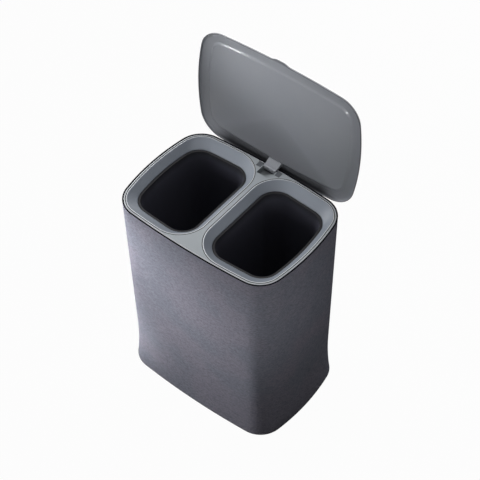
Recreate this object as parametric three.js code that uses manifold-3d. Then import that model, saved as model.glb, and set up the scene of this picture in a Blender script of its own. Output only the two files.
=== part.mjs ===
// Laundry hamper: one tapered casing, a top frame that carries two lift-out bins, and one lid
// that turns on a hinge at the rear and stands open. Millimetres, +Z up, front towards -Y.
import * as THREE from "three";
import { mergeVertices } from "three/addons/utils/BufferGeometryUtils.js";
import Module from "manifold-3d";

const wasm = await Module();
wasm.setup();

// Rim in plan: two long and two short bulged sides, joined by corner arcs
const width = 480;
const depth = 334;
const height = 603;
const longSideRadius = 2150;
const shortSideRadius = 600;
const cornerRadius = 68;

// Casing: a tapered wall that curves outwards towards the floor
const wallThickness = 2.8;
const wallEdge = 0.8;
const waistDraft = 7.8;
const waistHeight = 140;
const footFlare = 9.8;
const standHeight = 3;
const floorRecess = 9;
const floorThickness = 3;
const floorFillet = 8;
const seatLedgeWidth = 4;
const seatLedgeHeight = 5;

// Feet: round pads, each in a shallow socket under a boss
const footRadius = 12;
const footSocketDepth = 1;
const footChamfer = 0.8;
const footBossWall = 3;
const footOffset = 20;

// Gaps between pieces
const seatGap = 0.3;
const fitGap = 0.6;
const overrun = 5;

// Top frame: a deck with a skirt inside the casing and a rebate for each bin
const deckDrop = 0.5;
const deckThickness = 2.5;
const deckEdge = 1.5;
const frameDepth = 24;
const skirtThickness = 2.2;
const rebateGap = 0.5;
const rebateLedge = 5;
const rebateFloor = 2.5;

// Bin collar: a lip in the rebate, a funnel and a sleeve with a shelf
const binInset = 8.6;
const dividerHalf = 6;
const binOuterRadius = 59;
const binInnerRadius = 78;
const lipThickness = 2.5;
const lipWidth = 5;
const lipEdge = 0.9;
const funnelDepth = 18;
const mouthInsetAcross = 20.5;
const mouthInsetAlong = 28;
const mouthRadius = 50;
const collarWall = 2.3;
const sleeveDepth = 7;
const shelfWidth = 3.6;
const shelfThickness = 2.4;

// Bin tub: hangs by its flange on the collar's shelf
const tubGap = 0.4;
const tubFlange = 2.2;
const tubWall = 2;
const tubDraft = 5;
const tubClearance = 18;
const tubFillet = 12;
const tubEdge = 0.6;

// Lid: a skirted plate with a sunken panel
const lidInset = 2;
const lidGap = 2.6;
const lidThickness = 2.6;
const lidDepth = 9.8;
const lidCrownWidth = 14;
const lidCrownHeight = 7.5;
const skirtWidth = 2.5;
const lidSkirtEdge = 0.5;
const panelInset = 25.5;
const panelStep = 3.8;
const panelSlope = 9;
const grabWidth = 58;
const grabReach = 5.5;
const grabBlend = 20;
const grabRise = 1.6;
const grabThickness = 5;
const grabRound = 1.2;

// Hinge: a steel pin through the lid's arched tongue, held down by two caps
const hingeInset = 8.7;
const hingeDrop = 9;
const openDegrees = 93.5;
const pinRadius = 2;
const pinGap = 0.3;
const pinChamfer = 0.4;
const knuckleWall = 2.2;
const tongueHalf = 18;
const tongueGap = 1;
const archThickness = 3.6;
const archRise = 8;
const pocketFront = 31;
const pocketFloorGap = 1.7;
const pocketWall = 2.2;
const capWidth = 14;
const capLength = 17;
const capSink = 0.2;
const capRound = 1.5;
const capChamfer = 0.4;

// Facets
const cornerSteps = 8;
const longSteps = 6;
const shortSteps = 6;
const roundSteps = 24;
const filletSteps = 3;
const flareSteps = 4;
const panelSteps = 3;

const halfWidth = width / 2;
const halfDepth = depth / 2;
const openAngle = THREE.MathUtils.degToRad(openDegrees);
const longCentre = new THREE.Vector2(0, halfDepth - longSideRadius);
const sideCentre = new THREE.Vector2(halfWidth - shortSideRadius, 0);

// Centre of the corner arc that touches the rear long arc and the right short arc from inside
function cornerCentre(longRadius, shortRadius, radius) {
  const fromLong = longRadius - radius;
  const fromShort = shortRadius - radius;
  const apart = longCentre.distanceTo(sideCentre);
  const along = (fromLong ** 2 - fromShort ** 2 + apart ** 2) / (2 * apart);
  const across = Math.sqrt(fromLong ** 2 - along ** 2);
  const e = sideCentre.clone().sub(longCentre).divideScalar(apart);
  const n = new THREE.Vector2(e.y, -e.x);
  return longCentre.clone().addScaledVector(e, along).addScaledVector(n, across);
}

// Points of an arc from one angle up to, not including, another
function arc(centre, radius, from, to, steps) {
  const curve = new THREE.EllipseCurve(centre.x, centre.y, radius, radius, from, to);
  return curve.getPoints(steps).slice(0, -1);
}

function ring(points, z) {
  return points.map((p) => new THREE.Vector3(p.x, p.y, z));
}

// The rim's outline moved inwards by an inset, at height z
function rimRing(inset, z) {
  const centre = cornerCentre(longSideRadius, shortSideRadius, cornerRadius);
  const toLong = centre.clone().sub(longCentre).angle();
  const toSide = centre.clone().sub(sideCentre).angle();
  const long = longSideRadius - inset;
  const short = shortSideRadius - inset;
  const corner = cornerRadius - inset;
  const left = new THREE.Vector2(-sideCentre.x, 0);
  const front = new THREE.Vector2(0, -longCentre.y);
  const at = (sx, sy) => new THREE.Vector2(sx * centre.x, sy * centre.y);
  const points = [
    ...arc(sideCentre, short, -toSide, toSide, shortSteps),
    ...arc(at(1, 1), corner, toSide, toLong, cornerSteps),
    ...arc(longCentre, long, toLong, Math.PI - toLong, longSteps),
    ...arc(at(-1, 1), corner, Math.PI - toLong, Math.PI - toSide, cornerSteps),
    ...arc(left, short, Math.PI - toSide, Math.PI + toSide, shortSteps),
    ...arc(at(-1, -1), corner, Math.PI + toSide, Math.PI + toLong, cornerSteps),
    ...arc(front, long, Math.PI + toLong, 2 * Math.PI - toLong, longSteps),
    ...arc(at(1, -1), corner, -toLong, -toSide, cornerSteps),
  ];
  return ring(points, z);
}

// The right bin's outline: its outer sides follow the rim and its inner side runs straight
function binRing(across, along, outerRadius, innerRadius, z) {
  const long = longSideRadius - binInset - along;
  const short = shortSideRadius - binInset - across;
  const innerX = dividerHalf + across;
  const outer = cornerCentre(long, short, outerRadius);
  const inner = new THREE.Vector2(innerX + innerRadius, 0);
  inner.y = longCentre.y + Math.sqrt((long - innerRadius) ** 2 - inner.x ** 2);
  const toLong = outer.clone().sub(longCentre).angle();
  const toSide = outer.clone().sub(sideCentre).angle();
  const toInner = inner.clone().sub(longCentre).angle();
  const front = new THREE.Vector2(0, -longCentre.y);
  const flip = (p) => new THREE.Vector2(p.x, -p.y);
  const halfTurn = Math.PI;
  const points = [
    ...arc(sideCentre, short, -toSide, toSide, shortSteps),
    ...arc(outer, outerRadius, toSide, toLong, cornerSteps),
    ...arc(longCentre, long, toLong, toInner, shortSteps),
    ...arc(inner, innerRadius, toInner, halfTurn, cornerSteps),
    new THREE.Vector2(innerX, inner.y),
    ...arc(flip(inner), innerRadius, halfTurn, 2 * halfTurn - toInner, cornerSteps),
    ...arc(front, long, 2 * halfTurn - toInner, 2 * halfTurn - toLong, shortSteps),
    ...arc(flip(outer), outerRadius, -toLong, -toSide, cornerSteps),
  ];
  return ring(points, z);
}

// Surface through rings with the same number of points: capped at both ends, or closed on itself
function loft(rings, capped = true) {
  const count = rings[0].length;
  const positions = rings.flat().flatMap((p) => [p.x, p.y, p.z]);
  const index = [];
  const bands = capped ? rings.length - 1 : rings.length;
  for (let k = 0; k < bands; k++) {
    const low = k * count;
    const high = ((k + 1) % rings.length) * count;
    for (let i = 0; i < count; i++) {
      const j = (i + 1) % count;
      index.push(low + i, low + j, high + j, low + i, high + j, high + i);
    }
  }
  if (capped) {
    const last = (rings.length - 1) * count;
    const flat = (r) => r.map((p) => new THREE.Vector2(p.x, p.y));
    for (const [a, b, c] of THREE.ShapeUtils.triangulateShape(flat(rings[0]), [])) index.push(a, c, b);
    for (const [a, b, c] of THREE.ShapeUtils.triangulateShape(flat(rings.at(-1)), []))
      index.push(last + a, last + b, last + c);
  }
  const geometry = new THREE.BufferGeometry();
  geometry.setAttribute("position", new THREE.Float32BufferAttribute(positions, 3));
  geometry.setIndex(index);
  return geometry;
}

// The same shape on the other side of the middle plane
function mirrored(geometry) {
  const copy = geometry.clone().scale(-1, 1, 1);
  const index = [];
  for (let i = 0; i < copy.index.count; i += 3)
    index.push(copy.index.getX(i), copy.index.getX(i + 2), copy.index.getX(i + 1));
  copy.setIndex(index);
  return copy;
}

function solid(geometry) {
  const bare = geometry.clone();
  bare.deleteAttribute("normal");
  bare.deleteAttribute("uv");
  const merged = mergeVertices(bare);
  const triVerts = new Uint32Array(merged.index.array);
  return new wasm.Manifold(
    new wasm.Mesh({ numProp: 3, vertProperties: merged.attributes.position.array, triVerts }),
  );
}

function surface(shape) {
  const { numProp, vertProperties, triVerts } = shape.getMesh();
  const geometry = new THREE.BufferGeometry();
  const positions = [];
  for (let i = 0; i < vertProperties.length; i += numProp) positions.push(...vertProperties.slice(i, i + 3));
  geometry.setAttribute("position", new THREE.Float32BufferAttribute(positions, 3));
  geometry.setIndex([...triVerts]);
  return geometry;
}

// Box between two opposite corners
function block(low, high) {
  const size = high.map((v, i) => v - low[i]);
  const centre = high.map((v, i) => (v + low[i]) / 2);
  return new THREE.BoxGeometry(...size).translate(...centre);
}

// Round bar along X through the hinge's axis
function bar(radius, half, chamfer = 0) {
  const profile = [
    new THREE.Vector2(0, -half),
    new THREE.Vector2(radius - chamfer, -half),
    new THREE.Vector2(radius, chamfer - half),
    new THREE.Vector2(radius, half - chamfer),
    new THREE.Vector2(radius - chamfer, half),
    new THREE.Vector2(0, half),
  ];
  return new THREE.LatheGeometry(profile, roundSteps).rotateZ(-Math.PI / 2);
}

// Even shares of a whole, without zero
function shares(steps) {
  return Array.from({ length: steps }, (_, i) => (i + 1) / steps);
}

// How far a quarter turn has gone in and risen at share t, and a soft step from 0 to 1
const swing = (t) => 1 - Math.cos((t * Math.PI) / 2);
const rise = (t) => Math.sin((t * Math.PI) / 2);
const softStep = (t) => (1 - Math.cos(t * Math.PI)) / 2;

// Inset of the casing's outer face at height z
function wallInset(z) {
  const draft = (waistDraft * (height - z)) / (height - waistHeight);
  const flareShare = Math.max(0, (waistHeight - z) / (waistHeight - standHeight));
  return draft - footFlare * flareShare ** 2;
}

const deckTop = height - deckDrop;
const frameBottom = height - frameDepth;
const ledgeTop = frameBottom - seatGap;
const floorUnder = standHeight + floorRecess;
const floorTop = floorUnder + floorThickness;

// Casing
const footPlaces = [-1, 1].flatMap((sx) =>
  [-1, 1].map((sy) => {
    const centre = cornerCentre(longSideRadius, shortSideRadius, cornerRadius);
    return { sx, sy, x: sx * (centre.x + footOffset), y: sy * (centre.y + footOffset) };
  }),
);

function casingGeometry() {
  const outer = (z) => wallInset(z);
  const inner = (z) => wallInset(z) + wallThickness;
  const ledgeFoot = ledgeTop - seatLedgeHeight;
  const lowest = standHeight + wallEdge;
  const flare = shares(flareSteps).map((t) => lowest + t * (waistHeight - lowest));
  const bend = flare.filter((z) => z > floorTop + floorFillet);
  const shell = loft([
    rimRing(inner(floorUnder), floorUnder),
    rimRing(inner(standHeight), standHeight),
    rimRing(outer(standHeight) + wallEdge, standHeight),
    rimRing(outer(standHeight), lowest),
    ...flare.map((z) => rimRing(outer(z), z)),
    rimRing(outer(height), height - wallEdge),
    rimRing(outer(height) + wallEdge, height),
    rimRing(inner(height) - wallEdge, height),
    rimRing(inner(height), height - wallEdge),
    rimRing(inner(ledgeTop), ledgeTop),
    rimRing(inner(ledgeTop) + seatLedgeWidth, ledgeTop),
    rimRing(inner(ledgeFoot) + seatLedgeWidth, ledgeFoot),
    rimRing(inner(ledgeFoot - seatLedgeWidth), ledgeFoot - seatLedgeWidth),
    ...bend.reverse().map((z) => rimRing(inner(z), z)),
    rimRing(inner(floorTop + floorFillet), floorTop + floorFillet),
    ...shares(filletSteps).map((t) => {
      const foot = inner(floorTop + floorFillet);
      return rimRing(foot + floorFillet * swing(t), floorTop + floorFillet * (1 - rise(t)));
    }),
  ]);
  const bossRadius = footRadius + seatGap + footBossWall;
  const bossHeight = floorRecess + floorThickness / 2;
  let casing = solid(shell);
  for (const { x, y } of footPlaces) {
    const boss = new THREE.CylinderGeometry(bossRadius, bossRadius, bossHeight, roundSteps);
    boss.rotateX(Math.PI / 2).translate(x, y, standHeight + bossHeight / 2);
    const socketHeight = footSocketDepth + overrun;
    const socket = new THREE.CylinderGeometry(
      footRadius + seatGap,
      footRadius + seatGap,
      socketHeight,
      roundSteps,
    );
    socket.rotateX(Math.PI / 2).translate(x, y, standHeight + footSocketDepth - socketHeight / 2);
    casing = casing.add(solid(boss)).subtract(solid(socket));
  }
  return surface(casing);
}

// Foot pad, standing on the floor
function footGeometry() {
  const top = standHeight + footSocketDepth - seatGap;
  const profile = [
    new THREE.Vector2(0, 0),
    new THREE.Vector2(footRadius - footChamfer, 0),
    new THREE.Vector2(footRadius, footChamfer),
    new THREE.Vector2(footRadius, top),
    new THREE.Vector2(0, top),
  ];
  return new THREE.LatheGeometry(profile, roundSteps).rotateX(Math.PI / 2);
}

// Hinge places
const hingeY = halfDepth - hingeInset;
const hingeZ = height - hingeDrop;
const knuckleRadius = pinRadius + pinGap + knuckleWall;
const pocketHalf = tongueHalf + tongueGap;
const pocketFloor = hingeZ - knuckleRadius - pocketFloorGap;
const pocketStart = hingeY - pocketFront;
const capInner = pocketHalf + pocketWall;
const capOuter = capInner + capWidth;
const capRear = hingeY + pinRadius + pinGap + fitGap;
const capFront = capRear - capLength;

// Parallel insets of the bin's outline
function binOutline(inset, z) {
  return binRing(inset, inset, binOuterRadius - inset, binInnerRadius - inset, z);
}

// Top frame
function frameGeometry() {
  const outer = (z) => wallInset(z) + wallThickness + fitGap;
  const envelope = loft([
    rimRing(outer(frameBottom) + wallEdge, frameBottom),
    rimRing(outer(frameBottom), frameBottom + wallEdge),
    rimRing(outer(deckTop - deckEdge), deckTop - deckEdge),
    rimRing(outer(deckTop) + deckEdge * (1 - Math.SQRT1_2), deckTop - deckEdge * (1 - Math.SQRT1_2)),
    rimRing(outer(deckTop) + deckEdge, deckTop),
  ]);
  const hollow = loft([
    rimRing(outer(frameBottom) + skirtThickness, frameBottom - overrun),
    rimRing(outer(deckTop) + skirtThickness, deckTop - deckThickness),
  ]);
  const rebateDepth = lipThickness + seatGap;
  const curbBottom = deckTop - rebateDepth - rebateFloor;
  const curb = loft([
    binOutline(-rebateGap - skirtThickness, curbBottom),
    binOutline(-rebateGap - skirtThickness, deckTop - deckEdge),
  ]);
  const rebate = loft([
    binOutline(-rebateGap, deckTop - rebateDepth),
    binOutline(-rebateGap, deckTop + overrun),
  ]);
  const opening = loft([
    binOutline(rebateLedge, frameBottom - overrun),
    binOutline(rebateLedge, deckTop + overrun),
  ]);
  const shell = solid(envelope);
  const housing = solid(
    block(
      [-pocketHalf - pocketWall, pocketStart - pocketWall, pocketFloor - pocketWall],
      [pocketHalf + pocketWall, halfDepth, deckTop - deckEdge],
    ),
  ).add(
    solid(
      block(
        [-capOuter - pocketWall, capFront - pocketWall, pocketFloor - pocketWall],
        [capOuter + pocketWall, halfDepth, deckTop - deckEdge],
      ),
    ),
  );
  let frame = shell.subtract(solid(hollow)).add(housing.intersect(shell));
  frame = frame.add(solid(curb)).add(solid(mirrored(curb)));
  const binCuts = [rebate, mirrored(rebate), opening, mirrored(opening)];
  for (const cut of binCuts) frame = frame.subtract(solid(cut));
  const pocket = block([-pocketHalf, pocketStart, pocketFloor], [pocketHalf, halfDepth, height]);
  const channelRadius = pinRadius + pinGap;
  const channelHalf = capOuter - seatGap;
  const channel = bar(channelRadius, channelHalf).translate(0, hingeY, hingeZ);
  const slot = block(
    [-capInner - seatGap, hingeY - channelRadius, hingeZ],
    [capInner + seatGap, hingeY + channelRadius, height],
  );
  const seat = block([capInner, capFront, hingeZ], [capOuter, capRear, height]);
  for (const cut of [pocket, channel, slot, seat, mirrored(seat)]) frame = frame.subtract(solid(cut));
  return surface(frame);
}

// Rounded rectangle ring about the origin
function roundedRing(halfX, halfY, radius, z) {
  const x = halfX - radius;
  const y = halfY - radius;
  const quarter = Math.PI / 2;
  const corners = [[x, y], [-x, y], [-x, -y], [x, -y]];
  const points = corners.flatMap(([cx, cy], i) => {
    const curve = new THREE.EllipseCurve(cx, cy, radius, radius, i * quarter, (i + 1) * quarter);
    return curve.getPoints(filletSteps);
  });
  return ring(points, z);
}

// Cap over one end of the pin, with half of the pin's channel in its underside
function capGeometry() {
  const halfX = capWidth / 2 - seatGap;
  const halfY = capLength / 2 - seatGap;
  const bottom = hingeZ + seatGap;
  const top = deckTop - capSink;
  const body = loft([
    roundedRing(halfX, halfY, capRound, bottom),
    roundedRing(halfX, halfY, capRound, top - capChamfer),
    roundedRing(halfX - capChamfer, halfY - capChamfer, capRound - capChamfer, top),
  ]).translate((capInner + capOuter) / 2, (capFront + capRear) / 2, 0);
  const channel = bar(pinRadius + pinGap, capOuter + overrun).translate(0, hingeY, hingeZ);
  return surface(solid(body).subtract(solid(channel)));
}

// Bin collar
const collarTop = deckTop;
const mouthTop = collarTop - funnelDepth;
const shelfTop = mouthTop - sleeveDepth;

function mouthOutline(inset, z) {
  const radius = mouthRadius - inset;
  return binRing(mouthInsetAcross + inset, mouthInsetAlong + inset, radius, radius, z);
}

function collarGeometry() {
  const slopeShare = lipThickness / funnelDepth;
  return loft(
    [
      binOutline(0, collarTop - lipThickness),
      binOutline(0, collarTop - lipEdge),
      binOutline(lipEdge, collarTop),
      binOutline(lipWidth, collarTop),
      mouthOutline(-collarWall * slopeShare, mouthTop),
      mouthOutline(0, mouthTop - lipEdge),
      mouthOutline(0, shelfTop),
      mouthOutline(shelfWidth, shelfTop),
      mouthOutline(shelfWidth, shelfTop - shelfThickness),
      mouthOutline(-collarWall, shelfTop - shelfThickness),
      mouthOutline(-collarWall, mouthTop - lipThickness),
      binOutline(lipWidth + lipEdge, collarTop - lipThickness),
    ],
    false,
  );
}

// Bin tub
function tubGeometry() {
  const flangeTop = shelfTop + seatGap + tubFlange;
  const bottom = floorTop + tubClearance;
  const wallOut = shelfWidth + tubGap;
  const wallIn = wallOut + tubWall;
  const low = bottom + tubFillet;
  const drafted = (z) => (tubDraft * (shelfTop - z)) / (shelfTop - bottom);
  const outerFillet = shares(filletSteps).map((t) => {
    const inset = wallOut + drafted(low) + tubFillet * swing(t);
    return mouthOutline(inset, bottom + tubFillet * (1 - rise(t)));
  });
  const innerRadius = tubFillet - tubWall;
  const innerFillet = shares(filletSteps).map((t) => {
    const inset = wallIn + drafted(low) + innerRadius * swing(t);
    return mouthOutline(inset, bottom + tubWall + innerRadius * (1 - rise(t)));
  });
  return loft([
    ...outerFillet.reverse(),
    mouthOutline(wallOut + drafted(low), low),
    mouthOutline(wallOut, shelfTop + seatGap),
    mouthOutline(tubGap, shelfTop + seatGap),
    mouthOutline(tubGap, flangeTop - tubEdge),
    mouthOutline(tubGap + tubEdge, flangeTop),
    mouthOutline(wallIn - tubEdge, flangeTop),
    mouthOutline(wallIn, flangeTop - tubEdge),
    mouthOutline(wallIn + drafted(low), low),
    ...innerFillet,
  ]);
}

// Lid in its closed place, measured from the hinge's axis
function lidGeometry() {
  const low = hingeDrop + lidGap;
  const under = low + lidDepth - lidThickness;
  const top = low + lidDepth;
  const inset = (t, z) => rimRing(lidInset + t, z).map((p) => p.setY(p.y - hingeY));
  const crownShares = [0, ...shares(filletSteps)];
  const innerWidth = lidCrownWidth - skirtWidth;
  const innerHeight = lidCrownHeight - lidThickness;
  const slopeShares = [0, ...shares(panelSteps)];
  const panelRings = (start, level) =>
    slopeShares.map((t) => inset(start + panelSlope * t, level - panelStep * softStep(t)));
  const innerRings = crownShares.map((t) =>
    inset(skirtWidth + innerWidth * swing(t), under - innerHeight * (1 - rise(t))),
  );
  const plate = loft([
    ...panelRings(panelInset, under).reverse(),
    ...innerRings.reverse(),
    inset(skirtWidth, low + lidSkirtEdge),
    inset(skirtWidth - lidSkirtEdge, low),
    inset(lidSkirtEdge, low),
    inset(0, low + lidSkirtEdge),
    ...crownShares.map((t) => inset(lidCrownWidth * swing(t), top - lidCrownHeight * (1 - rise(t)))),
    ...panelRings(panelInset - lidThickness, top),
  ]);

  // Grab lip: a shallow rounded swelling on the front edge
  const edge = -hingeY - halfDepth + lidInset;
  const half = grabWidth / 2;
  const root = edge + skirtWidth / 2;
  const grabRing = (reach, z) => {
    const tip = edge - reach;
    const tab = new THREE.Path();
    tab.moveTo(-half, root);
    tab.bezierCurveTo(grabBlend / 2 - half, edge, grabBlend / 2 - half, tip, grabBlend - half, tip);
    tab.lineTo(half - grabBlend, tip);
    tab.bezierCurveTo(half - grabBlend / 2, tip, half - grabBlend / 2, edge, half, root);
    return ring(tab.getPoints(cornerSteps), low + grabRise + z);
  };
  const grabSoft = grabRound * (1 - Math.SQRT1_2);
  const lip = loft([
    grabRing(grabReach - grabRound, 0),
    grabRing(grabReach - grabSoft, grabSoft),
    grabRing(grabReach, grabRound),
    grabRing(grabReach, grabThickness - grabRound),
    grabRing(grabReach - grabSoft, grabThickness - grabSoft),
    grabRing(grabReach - grabRound, grabThickness),
  ]);

  // Tongue: rises beside the pin, then arches back over the rim to the open lid
  const rimTop = hingeDrop + seatGap;
  const reach = under + lidThickness / 2;
  const crown = rimTop + archThickness;
  const arch = new THREE.Shape();
  arch.moveTo(knuckleRadius, 0);
  arch.lineTo(knuckleRadius, rimTop);
  arch.lineTo(reach, rimTop);
  arch.lineTo(reach, crown + archRise);
  arch.quadraticCurveTo(knuckleRadius * 2, crown + archRise / 4, 0, crown);
  arch.quadraticCurveTo(-knuckleRadius, crown, -knuckleRadius, rimTop - archThickness);
  arch.lineTo(-knuckleRadius, 0);
  arch.absarc(0, 0, knuckleRadius, Math.PI, 2 * Math.PI, false);
  const tongue = new THREE.ExtrudeGeometry(arch, {
    depth: 2 * tongueHalf,
    bevelEnabled: false,
    curveSegments: cornerSteps,
  });
  tongue.translate(0, 0, -tongueHalf).rotateZ(Math.PI / 2).rotateY(Math.PI / 2).rotateX(openAngle);
  const bore = bar(pinRadius + pinGap, tongueHalf + overrun);
  return surface(solid(plate).add(solid(lip)).add(solid(tongue)).subtract(solid(bore)));
}

// Materials
const material = (color, roughness, metalness = 0) =>
  new THREE.MeshStandardMaterial({ color, roughness, metalness });
const grainedGrey = material(0x74737d, 0.8);
const frameGrey = material(0x8d959a, 0.45);
const lidGrey = material(0x767a7e, 0.4);
const tubCharcoal = material(0x23232b, 0.6);
const capGrey = material(0x565c63, 0.5);
const steel = material(0xa9acae, 0.3, 1);
const footBlack = material(0x202124, 0.9);

const hamper = new THREE.Group();

function piece(name, geometry, look, parent = hamper) {
  const mesh = new THREE.Mesh(geometry, look.clone());
  mesh.name = name;
  parent.add(mesh);
  return mesh;
}

piece("outer_casing", casingGeometry(), grainedGrey);
for (const { sx, sy, x, y } of footPlaces) {
  const name = `foot_${sy < 0 ? "front" : "rear"}_${sx < 0 ? "left" : "right"}`;
  piece(name, footGeometry(), footBlack).position.set(x, y, 0);
}
piece("top_frame", frameGeometry(), frameGrey);
piece("hinge_pin", bar(pinRadius, capOuter - 2 * seatGap, pinChamfer), steel).position.set(0, hingeY, hingeZ);

const bins = { right: 1, left: -1 };
for (const [side, sign] of Object.entries(bins)) {
  piece(`hinge_cap_${side}`, capGeometry(), capGrey).scale.x = sign;
  piece(`bin_collar_${side}`, collarGeometry(), frameGrey).scale.x = sign;
  piece(`bin_tub_${side}`, tubGeometry(), tubCharcoal).scale.x = sign;
}

const lid = piece("lid", lidGeometry(), lidGrey);
lid.position.set(0, hingeY, hingeZ);
lid.rotation.x = -openAngle;

// The origin lies on the floor under the middle of the open hamper
const everyVertex = true;
const extent = new THREE.Box3().setFromObject(hamper, everyVertex);
hamper.position.y = -(extent.min.y + extent.max.y) / 2;

export default hamper;
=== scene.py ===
# Laundry hamper with two lift-out bins and one lid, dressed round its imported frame.
import math

import bpy
import numpy as np
from mathutils import Matrix, Vector


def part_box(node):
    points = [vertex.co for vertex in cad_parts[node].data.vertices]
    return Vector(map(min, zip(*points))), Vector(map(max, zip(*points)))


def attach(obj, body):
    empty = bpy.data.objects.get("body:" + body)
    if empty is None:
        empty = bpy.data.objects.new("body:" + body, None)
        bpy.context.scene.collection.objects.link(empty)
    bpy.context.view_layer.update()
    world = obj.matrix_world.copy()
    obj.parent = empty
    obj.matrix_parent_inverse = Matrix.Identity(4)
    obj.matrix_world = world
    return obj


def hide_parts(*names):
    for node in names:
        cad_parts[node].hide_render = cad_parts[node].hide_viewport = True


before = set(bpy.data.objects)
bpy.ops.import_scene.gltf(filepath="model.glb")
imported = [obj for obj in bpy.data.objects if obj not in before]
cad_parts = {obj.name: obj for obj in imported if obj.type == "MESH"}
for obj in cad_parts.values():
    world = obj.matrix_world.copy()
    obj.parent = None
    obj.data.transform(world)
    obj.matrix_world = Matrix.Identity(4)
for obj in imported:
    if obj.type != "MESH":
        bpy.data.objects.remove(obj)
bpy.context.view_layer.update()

# Casing. The real one is a single thin-walled plastic moulding with a leather-like grain outside.
# It narrows downwards and curves out again at the floor. Its lip is painted near-black as shadow, and its
# foot edge is near-black.
# A ledge inside carries the top frame, and four round sockets under the floor hold the feet.
MM = 0.001
rim_width = 480
rim_depth = 334
rim_height = 603
long_radius = 2150
short_radius = 600
corner_radius = 68
long_steps = 60
short_steps = 40
corner_steps = 32
flare_rows = 30
outer_rows = 40
inner_rows = 40
wall = 2.8
lip_round = 0.8
lip_lead = 0.4
waist_draft = 7.8
waist_height = 140
waist_step = 10
foot_flare = 9.8
foot_lead = 1
foot_bevel_width = 0.4
foot_bevel_height = 0.6
stand_height = 3
floor_under = 12
floor_top = 15
floor_fillet = 8
ledge_top = 578.7
ledge_width = 4
ledge_height = 5
ledge_lead = 9
casing_low, casing_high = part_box("outer_casing")
middle_y = (casing_low.y + casing_high.y) / 2 / MM
long_middle = np.array([0, rim_depth / 2 - long_radius])
short_middle = np.array([rim_width / 2 - short_radius, 0])


def corner_middle(long, short, corner):
    """Middle of the arc that touches the rear long arc and the right short arc from inside: it lies
    as far from each of their middles as that arc's radius less the corner's radius."""
    between = short_middle - long_middle
    span = np.hypot(*between)
    along = ((long - corner) ** 2 - (short - corner) ** 2 + span**2) / (2 * span)
    across = math.sqrt((long - corner) ** 2 - along**2)
    ahead = between / span
    return long_middle + along * ahead + across * np.array([ahead[1], -ahead[0]])


def angle_from(middle, point):
    """Angle of the line from a middle to a point, counted from the x axis."""
    return math.atan2(point[1] - middle[1], point[0] - middle[0])


def line_of_arcs(arcs):
    """Points of a closed line, and its outward directions. Each arc gives middle + radius
    (cos a, sin a), with a in even steps from its first angle up to, but without, its last."""
    points = []
    outward = []
    for middle, radius, first, last, steps in arcs:
        a = np.linspace(first, last, steps, endpoint=False)
        side = np.stack([np.cos(a), np.sin(a)], -1)
        points.append(np.asarray(middle) + radius * side)
        outward.append(side)
    return np.concatenate(points), np.concatenate(outward)


def ring(line, inset, z):
    """The line moved inwards by inset at height z, as one row of a surface."""
    points, outward = line
    flat = points - inset * outward
    return np.column_stack([flat, np.full(len(flat), z)])


def piece_of(name, vertices, faces, sharp=40):
    """A piece from vertices in millimetres about the casing's middle, shaded smooth up to an
    angle between faces."""
    placed = (np.asarray(vertices, float) + [0, middle_y, 0]) * MM
    mesh = bpy.data.meshes.new(name)
    mesh.from_pydata(placed.tolist(), [], faces)
    mesh.shade_smooth()
    mesh.set_sharp_from_angle(angle=math.radians(sharp))
    made = bpy.data.objects.new(name, mesh)
    bpy.context.scene.collection.objects.link(made)
    return made


def skin(name, rows, closed=False, sharp=40):
    """Surface over a grid of points: row r and column c are joined to their next neighbours, and
    the columns run round. Closed rows run round too, open ones end in a fan to their middle."""
    rows = np.asarray(rows, float)
    count, wide = rows.shape[:2]
    r = np.arange(count if closed else count - 1)[:, None]
    c = np.arange(wide)[None, :]
    low = r * wide
    high = ((r + 1) % count) * wide
    right = (c + 1) % wide
    quads = np.stack([low + c, low + right, high + right, high + c], -1).reshape(-1, 4)
    vertices = rows.reshape(-1, 3)
    faces = quads.tolist()
    if not closed:
        first, last = len(vertices), len(vertices) + 1
        vertices = np.concatenate([vertices, rows[:1].mean(1), rows[-1:].mean(1)])
        end_row = (count - 1) * wide
        around = np.arange(wide)
        ahead = (around + 1) % wide
        faces += np.column_stack([ahead, around, np.full(wide, first)]).tolist()
        faces += np.column_stack([end_row + around, end_row + ahead, np.full(wide, last)]).tolist()
    return piece_of(name, vertices, faces, sharp)


def dress(piece, material, body, slot, *nodes):
    """Gives a piece its finish and its body, and hides the nodes that it stands for. The slot is not used.
    """
    piece.data.materials.clear()
    piece.data.materials.append(material)
    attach(piece, body)
    if nodes:
        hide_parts(*nodes)


rim_corner = corner_middle(long_radius, short_radius, corner_radius)
long_angle = angle_from(long_middle, rim_corner)
short_angle = angle_from(short_middle, rim_corner)
left_middle = -short_middle
front_middle = -long_middle
half_turn = math.pi
quarter_turn = math.pi / 2
rim_line = line_of_arcs([
    (short_middle, short_radius, -short_angle, short_angle, short_steps),
    (rim_corner, corner_radius, short_angle, long_angle, corner_steps),
    (long_middle, long_radius, long_angle, half_turn - long_angle, long_steps),
    (rim_corner * [-1, 1], corner_radius, half_turn - long_angle, half_turn - short_angle, corner_steps),
    (left_middle, short_radius, half_turn - short_angle, half_turn + short_angle, short_steps),
    (-rim_corner, corner_radius, half_turn + short_angle, half_turn + long_angle, corner_steps),
    (front_middle, long_radius, half_turn + long_angle, 2 * half_turn - long_angle, long_steps),
    (rim_corner * [1, -1], corner_radius, -long_angle, -short_angle, corner_steps),
])


def wall_inset(z):
    """How far the outer face lies inside the rim at height z: a straight draft from the rim down,
    less a flare that grows with the square of the way from the waist to the floor."""
    z = np.asarray(z, float)
    draft = waist_draft * (rim_height - z) / (rim_height - waist_height)
    share = np.clip((waist_height - z) / (waist_height - stand_height), 0, None)
    return draft - foot_flare * share**2


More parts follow.
